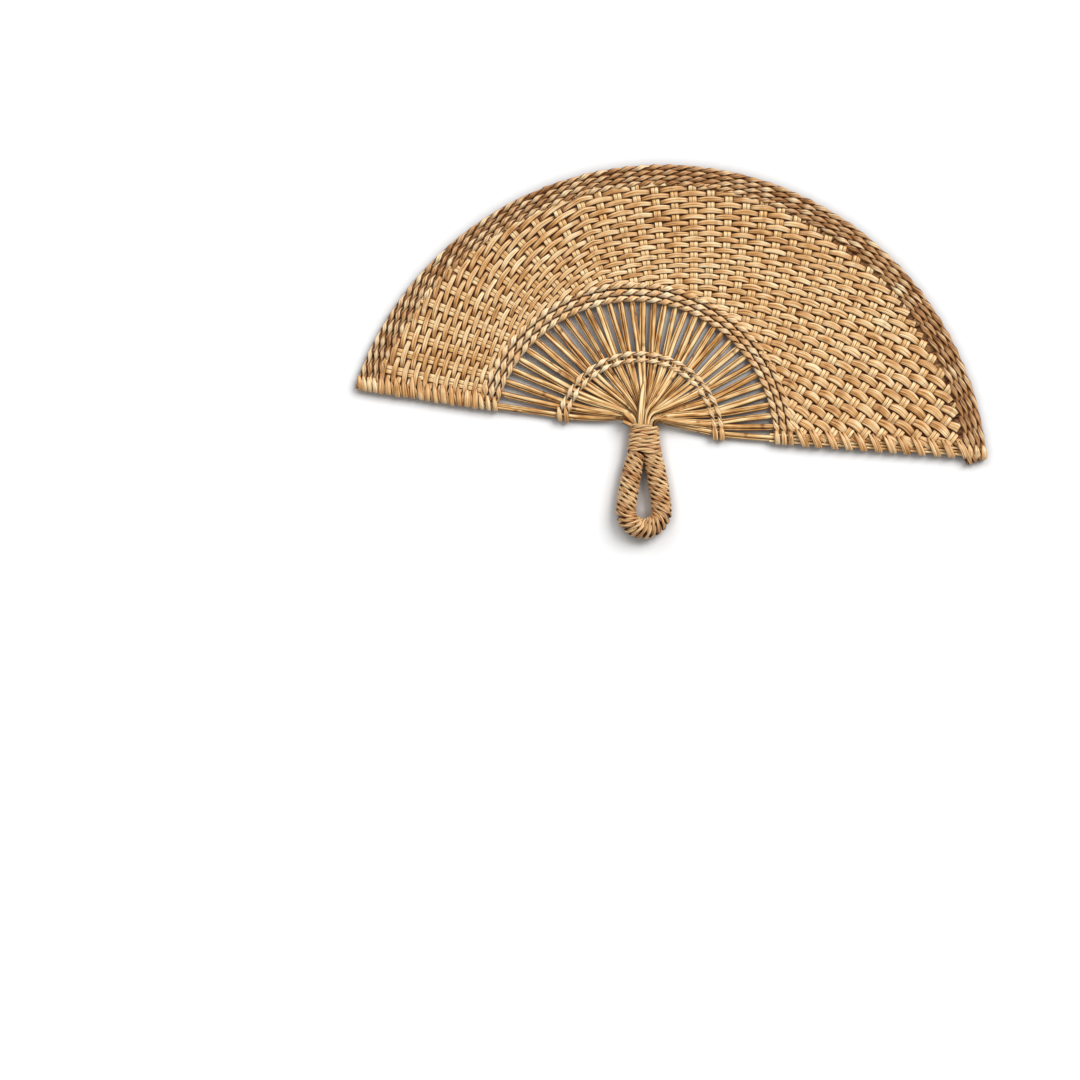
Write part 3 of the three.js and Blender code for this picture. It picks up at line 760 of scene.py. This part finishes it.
def twine_row(reach_at, stakes, sizes, tones, dice):
    """Both strands of one row; each stitch climbs from the inner to the outer side of its row. A size is one
    number or a pair, for the left and the right end of the row."""
    last = len(stakes) - 1
    ends = TWINE_STEPS // 2
    steps = np.arange(-ends, TWINE_STEPS * last + ends + 1) / TWINE_STEPS
    posts = np.arange(-1, last + 2)
    angle = np.interp(steps, np.arange(last + 1), stakes)
    angle = np.where(steps < 0, stakes[0] + steps * 0.5 * (stakes[1] - stakes[0]), angle)
    angle = np.where(steps > last, stakes[-1] + (steps - last) * 0.5 * (stakes[-1] - stakes[-2]), angle)
    share = 0.5 + 0.5 * angle / HALF_SPREAD
    size = {name: np.interp(share, (0, 1), np.broadcast_to(one, 2)) for name, one in sizes.items()}
    made = []
    for strand in (0, 1):
        turn = np.pi * (steps + strand)
        drift = np.interp(steps, posts, [dice.uniform(-0.16, 0.16) for _ in posts])
        plump = np.interp(steps, posts, [dice.uniform(0.9, 1.1) for _ in posts])
        reach = reach_at(angle) + size["swing"] * np.sin(turn) + drift
        route = outward(angle) * reach[:, None]
        route[:, 2] = BLADE_Z + size["lift"] * np.cos(turn)
        roll = TWINE_ROLL * np.sin(turn)
        side = outward(angle) * np.cos(roll)[:, None] - UP * np.sin(roll)[:, None]
        level = np.cos(turn) ** 2
        half = size["half_width"] * plump * (size["least"] + (1 - size["least"]) * level)
        thick = size["half_thick"] * (0.65 + 0.35 * level)
        # Painted shade on the upper side where a strand goes under its partner, and on the lower side where
        # it comes over
        painted_shade_top = (0.5 - 0.5 * np.cos(turn)) ** 2
        painted_shade_bottom = (0.5 + 0.5 * np.cos(turn)) ** 2
        shade = np.interp(steps, posts, [dice.uniform(*tones) for _ in posts])
        shade = np.clip(shade + PALER_TO_THE_LEFT * (0.5 - share), 0.0, 1.0)
        made.append(straw(route, side, half, thick, shade, painted_shade_top, painted_shade_bottom))
    return made


every_rib = [rib_angle(rib) for rib in range(RIBS)]
rib_pairs = [rib_angle(0)] + [rib_angle(rib + 0.5) for rib in range(1, RIBS - 1, 2)] + [rib_angle(RIBS - 1)]
twine_finish = straw_finish(
    "plump twine straw",
    dark=(0.26, 0.092, 0.02),
    middle=(0.8, 0.43, 0.16),
    light=(1.0, 0.86, 0.57),
    fibre=2.2,
    patch=0.9,
    seam=0.3,
    node=0.15,
    edge=0.65,
    bump=0.5,
)
INNER_CENTRE = np.array((-3.3, -5.0, 0.0))
INNER_RADIUS = 47.4
INNER_SIZES = {"lift": 1.9, "swing": 0.55, "half_width": 1.7, "half_thick": 1.0, "least": 0.4}
INNER_TONES = (0.75, 1.0)


def inner_reach(angle, row):
    return circle_reach(angle, INNER_CENTRE, INNER_RADIUS + ROW_PITCH * row)


dice = random.Random(41)
inner = []
for row in range(2):
    inner += twine_row(lambda angle, k=row: inner_reach(angle, k), rib_pairs, INNER_SIZES, INNER_TONES, dice)
inner_nodes = [f"inner_twine_{row}{strand}" for row in (1, 2) for strand in "ab"]
straws_piece(
    "inner_twine", inner, twine_finish, sides=12, flatness=0.9, nodes=inner_nodes
)

BAND_SIZES = {"lift": 1.4, "swing": 0.9, "half_width": 1.9, "half_thick": 1.1, "least": 0.5}
BAND_TONES = (0.35, 1.0)
band = []
for row in range(3):
    band += twine_row(lambda angle, k=row: band_reach(angle, k), every_rib, BAND_SIZES, BAND_TONES, dice)
band_nodes = [f"band_twine_{row}{strand}" for row in (1, 2, 3) for strand in "ab"]
straws_piece(
    "band_twine", band, twine_finish, sides=12, flatness=0.9, nodes=band_nodes
)

RIM_STAKES = 58
RIM_ROWS = 4
RIM_PITCH = 3.3
RIM_INSET = 1.9
RIM_LAG = 0.007
RIM_SIZES = {
    "lift": 1.3,
    "swing": (0.8, 0.5),
    "half_width": (1.6, 1.8),
    "half_thick": 1.2,
    "least": (0.45, 0.7),
}
RIM_TONES = (0.05, 0.9)
rim_stakes = np.linspace(-HALF_SPREAD, HALF_SPREAD, RIM_STAKES)
rim = []
for row in range(RIM_ROWS):
    inset = RIM_INSET + RIM_PITCH * row
    posts = rim_stakes + RIM_LAG * row
    rim += twine_row(lambda angle, i=inset: rim_reach(angle, i), posts, RIM_SIZES, RIM_TONES, dice)

TIP_TUCK = 4.0
TIP_INSET = 1.2
TIP_THICK = 0.3
# Tips of the stakes under the rim, made dark in tone and with painted shade
tips = []
for place, after in zip(rim_stakes, rim_stakes[1:]):
    angle = 0.5 * (place + after)
    half = 0.5 * (after - place) * float(rim_reach(angle, PANEL_INSET))
    start = float(rim_reach(angle, PANEL_INSET + TIP_TUCK))
    reach = np.linspace(start, float(rim_reach(angle, TIP_INSET)), 6)
    route = outward(angle) * reach[:, None] + UP * BLADE_Z
    tips.append(straw(route, across(angle), half, TIP_THICK, 0.1, 0.8))
straws_piece("rim_stake_tips", tips, warp_finish, sides=8, flatness=0.6, nodes=rib_nodes)
rim_finish = straw_finish(
    "rim twine straw",
    dark=(0.16, 0.05, 0.01),
    middle=(0.55, 0.262, 0.086),
    light=(1.0, 0.8, 0.49),
    fibre=2.3,
    patch=0.9,
    seam=0.3,
    node=0.15,
    edge=0.5,
    bump=0.5,
)
rim_nodes = [f"rim_twine_{row}{strand}" for row in (1, 2, 3) for strand in "ab"]
straws_piece(
    "rim_twine", rim, rim_finish, sides=12, flatness=0.9, nodes=rim_nodes
)


# Edges: on the left each weft doubles over the edge stake in a plump turn, with a small dark turn between
# every two. On the right three bare sticks are overcast with slanting pairs of straws. The twined rows end
# in small turns round the sticks of both edges.
def edge_turn(hand, reach, slant, inside, outside, lift, half_width, half_thick, tone):
    """A straw that comes out of the blade on top, turns round the edge and goes back in below."""
    angle = hand * HALF_SPREAD
    drop = min(lift, BLADE_Z - half_thick)
    stations = (
        (-inside, -0.6, 0.5 * lift),
        (-0.45 * inside, -0.2, 0.95 * lift),
        (0.1, 0.1, lift),
        (outside, 0.4, 0.55 * lift),
        (outside, 0.5, -0.55 * drop),
        (0.1, 0.4, -drop),
        (-inside, 0.0, -0.5 * drop),
    )
    points = [
        outward(angle) * (reach + slant * along) + across(angle) * (hand * out) + UP * (BLADE_Z + up)
        for out, along, up in stations
    ]
    route = rounded(points, 0.55)
    share = np.linspace(0, 1, len(route))
    taper = np.interp(share, (0, 0.2, 0.8, 1), (0.5, 1, 1, 0.5))
    # Painted shade at both ends, where the turn goes into the blade
    painted_shade_top = np.interp(share, (0, 0.14, 0.86, 1), (0.6, 0.0, 0.0, 0.6))
    return straw(route, outward(angle), half_width * taper, half_thick, tone, painted_shade_top)


LOBE_PITCH = 5.0
LOBE_LIFT = 2.5
LOBE_THICK = 1.0
LEFT_RIM_INSETS = (12, 8.7, 5.6, 3.0)
lobes_start = float(panel_start(-HALF_SPREAD)) + 2
lobes_end = float(rim_reach(-HALF_SPREAD, PANEL_INSET))
dice = random.Random(53)
turns = []
for place in np.arange(lobes_start, lobes_end, LOBE_PITCH):
    place = place + dice.uniform(-0.5, 0.5)
    slant = dice.uniform(-4.0, -1.0)
    inside = dice.uniform(6.5, 10.0)
    out = dice.uniform(2.6, 3.3)
    half = dice.uniform(1.5, 1.95)
    tone = dice.uniform(0.15, 0.75)
    turns.append(edge_turn(-1, place, slant, inside, out, LOBE_LIFT, half, LOBE_THICK, tone))
    between = place + 0.5 * LOBE_PITCH
    turns.append(
        edge_turn(
            -1,
            between,
            slant,
            inside=4.5,
            outside=out - 0.6,
            lift=1.7,
            half_width=1.0,
            half_thick=0.8,
            tone=dice.uniform(0.0, 0.3),
        )
    )
left_rows = [inner_reach(-HALF_SPREAD, row) for row in (0, 1)]
left_rows += [band_reach(-HALF_SPREAD, row) for row in (0, 1, 2)]
left_rows += [rim_reach(-HALF_SPREAD, inset) for inset in LEFT_RIM_INSETS]
for reach in left_rows:
    turns.append(
        edge_turn(
            -1,
            float(reach),
            slant=-2.5,
            inside=5.0,
            outside=2.7,
            lift=2.5,
            half_width=1.5,
            half_thick=1.0,
            tone=dice.uniform(0.35, 0.8),
        )
    )
straws_piece(
    "left_edge_turns",
    turns,
    weft_finish,
    sides=12,
    flatness=0.8,
    nodes=["edge_stake_left"],
)

OVERCAST_START = 97.0
OVERCAST_SPARE = 14
OVERCAST_PITCH = 9.2
OVERCAST_TWIN = 2.3
RIGHT_RIM_INSETS = (11, 6.7, 2.2)
right_end = float(rim_reach(HALF_SPREAD, 0.0))
overcast = []
for place in np.arange(OVERCAST_START, right_end - OVERCAST_SPARE, OVERCAST_PITCH):
    shift = dice.uniform(-0.6, 0.6)
    for twin in (0, OVERCAST_TWIN):
        overcast.append(
            edge_turn(
                1,
                place + twin + shift,
                slant=6.0,
                inside=7.0,
                outside=3.2,
                lift=2.7,
                half_width=1.25,
                half_thick=1.0,
                tone=dice.uniform(0.25, 0.6),
            )
        )
right_rows = [inner_reach(HALF_SPREAD, row) for row in (0, 1)]
right_rows += [band_reach(HALF_SPREAD, row) for row in (0, 1, 2)]
right_rows += [right_end - inset for inset in RIGHT_RIM_INSETS]
for reach in right_rows:
    overcast.append(
        edge_turn(
            1,
            float(reach),
            slant=1.5,
            inside=4.5,
            outside=2.9,
            lift=2.5,
            half_width=1.8,
            half_thick=1.0,
            tone=dice.uniform(0.35, 0.8),
        )
    )
straws_piece(
    "right_edge_overcast",
    overcast,
    weft_finish,
    sides=12,
    flatness=0.9,
    nodes=["edge_stake_right"],
)

STAKE_START = 78.0
STAKE_STEP = 3.0
STAKE_HALF = 0.95
STAKE_THICK = 0.9
# Places of the sticks across each edge, counted outward
LEFT_STICKS = (-0.9, 1.1)
RIGHT_STICKS = (-2.2, -0.2, 1.7)
left_end = float(rim_reach(-HALF_SPREAD, 1.0))
wave_marks = np.arange(70, 230, 20)
stakes = []
for hand, asides, end in ((-1, LEFT_STICKS, left_end), (1, RIGHT_STICKS, right_end - 0.5)):
    angle = hand * HALF_SPREAD
    for aside in asides:
        reach = np.arange(STAKE_START, end + dice.uniform(-1.5, 0.5), STAKE_STEP)
        wave = np.interp(reach, wave_marks, [dice.uniform(-0.25, 0.25) for _ in wave_marks])
        shift = across(angle) * (hand * (aside + wave))[:, None]
        route = outward(angle) * reach[:, None] + shift + UP * BLADE_Z
        stakes.append(straw(route, across(angle), STAKE_HALF, STAKE_THICK, dice.uniform(0.4, 0.8)))
straws_piece("edge_stake_sticks", stakes, cane, sides=10, flatness=1.0, nodes=stake_nodes)


# Handle: a core of straw bent into a teardrop loop and hidden under a close whipping of two-ply cord. The
# turns slant, the two legs press together under the neck, and a second cord binds the neck over the feet
# of the ribs.
NECK_HALF = 4.1
LEG_HALF = 6.6
FLARE_HALF = 9.3
LOOP_HALF = 11.2
LOOP_CENTRE = 56.0
SPLINE_STEPS = 24


def loop_route():
    """The core's centre line from one end in the neck round the loop to the other."""
    half = [
        (NECK_HALF, -9.2),
        (NECK_HALF, -14.0),
        (NECK_HALF + 0.3, -19.5),
        (LEG_HALF, -27.0),
        (FLARE_HALF, -41.0),
        (LOOP_HALF, -LOOP_CENTRE),
    ]
    for eighth in (1, 2, 3):
        turn = -eighth * math.pi / 8
        half.append((LOOP_HALF * math.cos(turn), -LOOP_CENTRE + LOOP_HALF * math.sin(turn)))
    points = half + [(0.0, -LOOP_CENTRE - LOOP_HALF)] + [(-x, y) for x, y in reversed(half)]
    dense = []
    for i in range(len(points) - 1):
        near = (points[max(i - 1, 0)], points[i], points[i + 1], points[min(i + 2, len(points) - 1)])
        for t in np.linspace(0, 1, SPLINE_STEPS, endpoint=False):
            weights = (
                -0.5 * t**3 + t**2 - 0.5 * t,
                1.5 * t**3 - 2.5 * t**2 + 1,
                -1.5 * t**3 + 2 * t**2 + 0.5 * t,
                0.5 * t**3 - 0.5 * t**2,
            )
            dense.append([sum(w * p[axis] for w, p in zip(weights, near)) for axis in (0, 1)])
    dense.append(points[-1])
    return np.array([in_handle(x, y, HANDLE_Z) for x, y in dense])


# Radius of the core at these depths below the neck
CORE_DEPTHS = (9, 19, 28, 40)
CORE_RADII = (3.6, 3.9, 4.7, 4.9)
core_line = loop_route()
core_along = lengths_along(core_line)
core_ahead = unit(np.gradient(core_line, axis=0))
core_depth = -((core_line - NECK_PLACE) @ HANDLE_UP)
core_radius = np.interp(core_depth, CORE_DEPTHS, CORE_RADII)
handle_finish = straw_finish(
    "whipping cord",
    dark=(0.17, 0.05, 0.009),
    middle=(0.58, 0.25, 0.074),
    light=(1.0, 0.76, 0.41),
    fibre=3.0,
    patch=0.6,
    seam=0.3,
    node=0.1,
    edge=0.4,
    bump=0.5,
)
core_finish = straw_finish(
    "core straw",
    dark=(0.03, 0.011, 0.004),
    middle=(0.1, 0.045, 0.017),
    light=(0.2, 0.1, 0.04),
    fibre=0.9,
    patch=0.5,
    seam=0.2,
    node=0.2,
    edge=0.7,
    bump=0.4,
)
core = [straw(core_line[::3], UP, core_radius[::3], core_radius[::3], 0.4)]
straws_piece(
    "handle_core_straw", core, core_finish, sides=20, flatness=1.0, nodes=["handle_core"]
)

PLY_HALF = 1.02
PLY_APART = 0.75
PLY_RISE = 0.35
PLY_SHADE = 0.26


def along_core(place, values):
    return np.stack([np.interp(place, core_along, values[:, axis]) for axis in range(3)], -1)


def two_ply(route, side, away, phase, half, shades):
    """A cord of two straws twisted round each other, laid along a route."""
    made = []
    for strand in (0, 1):
        twist = phase + strand * np.pi
        apart = side * (PLY_APART * np.sin(twist))[:, None]
        line = route + apart + away * (PLY_RISE * np.cos(twist))[:, None]
        # Painted shade on each strand where it lies under the other
        made.append(straw(line, side, half, 0.95 * half, shades, PLY_SHADE - PLY_SHADE * np.cos(twist)))
    return made


WHIP_DEPTH = 18.5
WHIP_PITCH = 3.0
WHIP_STEPS = 48
WHIP_TWISTS = 2.62
CORD_LIFT = 0.4
# Slant of the turns at these shares of the loop
SLANT_SHARES = (0.1, 0.35, 0.65, 0.9)
SLANTS = np.tan(np.radians((31, 25, 19, 14)))
first_half = slice(0, len(core_line) // 2)
begin = float(np.interp(WHIP_DEPTH, core_depth[first_half], core_along[first_half]))
run = core_along[-1] - 2 * begin
whip_turns = round(run / WHIP_PITCH)
dice = random.Random(67)
tones = [dice.uniform(0.35, 0.95) for _ in range(whip_turns + 2)]
wander = [dice.uniform(-0.35, 0.35) for _ in range(2 * whip_turns + 3)]
count = np.arange(whip_turns * WHIP_STEPS + 1) / WHIP_STEPS
turn = 2 * np.pi * count
place = begin + run * count / whip_turns + np.interp(2 * count, np.arange(2 * whip_turns + 3), wander)
hold = np.interp(place, core_along, core_radius) + CORD_LIFT
slant = np.interp(place / core_along[-1], SLANT_SHARES, SLANTS)
place = place - slant * hold * np.cos(turn)
ahead = unit(along_core(place, core_ahead))
side = np.cross(ahead, UP)
away = side * np.cos(turn)[:, None] + UP * np.sin(turn)[:, None]
route = along_core(place, core_line) + away * hold[:, None]
shades = np.interp(count, np.arange(whip_turns + 2), tones)
whip = two_ply(route, ahead, away, WHIP_TWISTS * turn, PLY_HALF, shades)
straws_piece(
    "loop_whipping_cord",
    whip,
    handle_finish,
    sides=10,
    flatness=1.0,
    nodes=["loop_whipping"],
)

BIND_PITCH = 2.9
BIND_TURNS = 6
BIND_STEPS = 60
BIND_TWISTS = 3.4
BIND_START = 2.9
BIND_SLANT = 0.16
# Half sizes of a turn, how much wider each next turn is, and how square its corners are
BIND_HALF = 7.6
BIND_FLARE = 0.4
BIND_HEIGHT = 5.3
BIND_SQUARENESS = 0.8
# Squares of the mean half sizes, which give the direction away from the neck
BIND_SPAN = (80, 28)
count = np.arange(BIND_TURNS * BIND_STEPS + 1) / BIND_STEPS
turn = 2 * np.pi * count
marks = np.arange(9)
wander = np.interp(count, marks, [dice.uniform(-0.2, 0.2) for _ in marks])
shades = np.interp(count, marks, [dice.uniform(0.4, 0.9) for _ in marks])
x = np.sign(np.cos(turn)) * np.abs(np.cos(turn)) ** BIND_SQUARENESS * (BIND_HALF + BIND_FLARE * count)
z = np.sign(np.sin(turn)) * np.abs(np.sin(turn)) ** BIND_SQUARENESS * BIND_HEIGHT
y = -BIND_START - BIND_PITCH * count - BIND_SLANT * x + wander
route = np.array([in_handle(*point) for point in zip(x, y, z + HANDLE_Z)])
away = unit(HANDLE_RIGHT * (x / BIND_SPAN[0])[:, None] + UP * (z / BIND_SPAN[1])[:, None])
binding = two_ply(route, -HANDLE_UP, away, BIND_TWISTS * turn, 1.1 * PLY_HALF, shades)
straws_piece(
    "neck_binding_cord",
    binding,
    handle_finish,
    sides=10,
    flatness=1.0,
    nodes=["neck_binding"],
)


# Stage: a white table top in soft daylight, mostly from the upper right, seen from straight above as in the
# photograph. The top carries painted shade close to the fan. The lens is long and stands over the middle of
# the picture, so that the fan lies in its upper right part.
FLOOR_SIZE = 40.0
FLOOR_DROP = 0.0002
WHITE = (0.98, 0.98, 0.98, 1.0)
SHADE_REACH = 0.007
SHADE_SHARE = 0.75
bpy.ops.mesh.primitive_plane_add(size=FLOOR_SIZE, location=(0, 0, -FLOOR_DROP))
floor = bpy.context.object
floor.name = "table_top"
paper = bpy.data.materials.new("white table")
paper.use_nodes = True
surface = paper.node_tree.nodes["Principled BSDF"]
surface.inputs["Roughness"].default_value = 0.9
# Painted shade on the table close to the fan, from the occlusion node
floor_shade = paper.node_tree.nodes.new("ShaderNodeAmbientOcclusion")
floor_shade.inputs["Color"].default_value = WHITE
floor_shade.inputs["Distance"].default_value = SHADE_REACH
floor_shade_colour = paper.node_tree.nodes.new("ShaderNodeMix")
floor_shade_colour.data_type = "RGBA"
floor_shade_colour.inputs["Factor"].default_value = SHADE_SHARE
floor_shade_colour.inputs["A"].default_value = WHITE
link(
    paper.node_tree,
    (floor_shade.outputs["Color"], floor_shade_colour.inputs["B"]),
    (floor_shade_colour.outputs["Result"], surface.inputs["Base Color"]),
)
floor.data.materials.append(paper)

scene = bpy.context.scene
scene.view_settings.view_transform = "Standard"
world = bpy.data.worlds.new("daylight")
world.use_nodes = True
world.node_tree.nodes["Background"].inputs["Color"].default_value = (1.0, 1.0, 1.0, 1.0)
world.node_tree.nodes["Background"].inputs["Strength"].default_value = 0.36
scene.world = world
# Name, strength, height above the horizon and turn of each lamp
LAMPS = (("right window", 2.5, 44, -38), ("left window", 0.8, 42, 36))
LAMP_SOFTNESS = math.radians(36)
for name, energy, height, turn in LAMPS:
    light = bpy.data.lights.new(name, "SUN")
    light.energy = energy
    light.angle = LAMP_SOFTNESS
    lamp = bpy.data.objects.new(name, light)
    lamp.rotation_euler = (math.radians(height - 90), 0, math.radians(turn))
    scene.collection.objects.link(lamp)

ROLL = math.radians(6.5)
FRAME_WIDTH = 0.678
DISTANCE = 1.6
SENSOR = 36.0
PICTURE_MIDDLE = (-0.0731, -0.1258)
camera = bpy.data.objects.new("camera", bpy.data.cameras.new("camera"))
camera.location = (*PICTURE_MIDDLE, DISTANCE)
camera.rotation_euler = (0, 0, ROLL)
camera.data.sensor_width = SENSOR
camera.data.lens = SENSOR * DISTANCE / FRAME_WIDTH
scene.collection.objects.link(camera)
scene.camera = camera
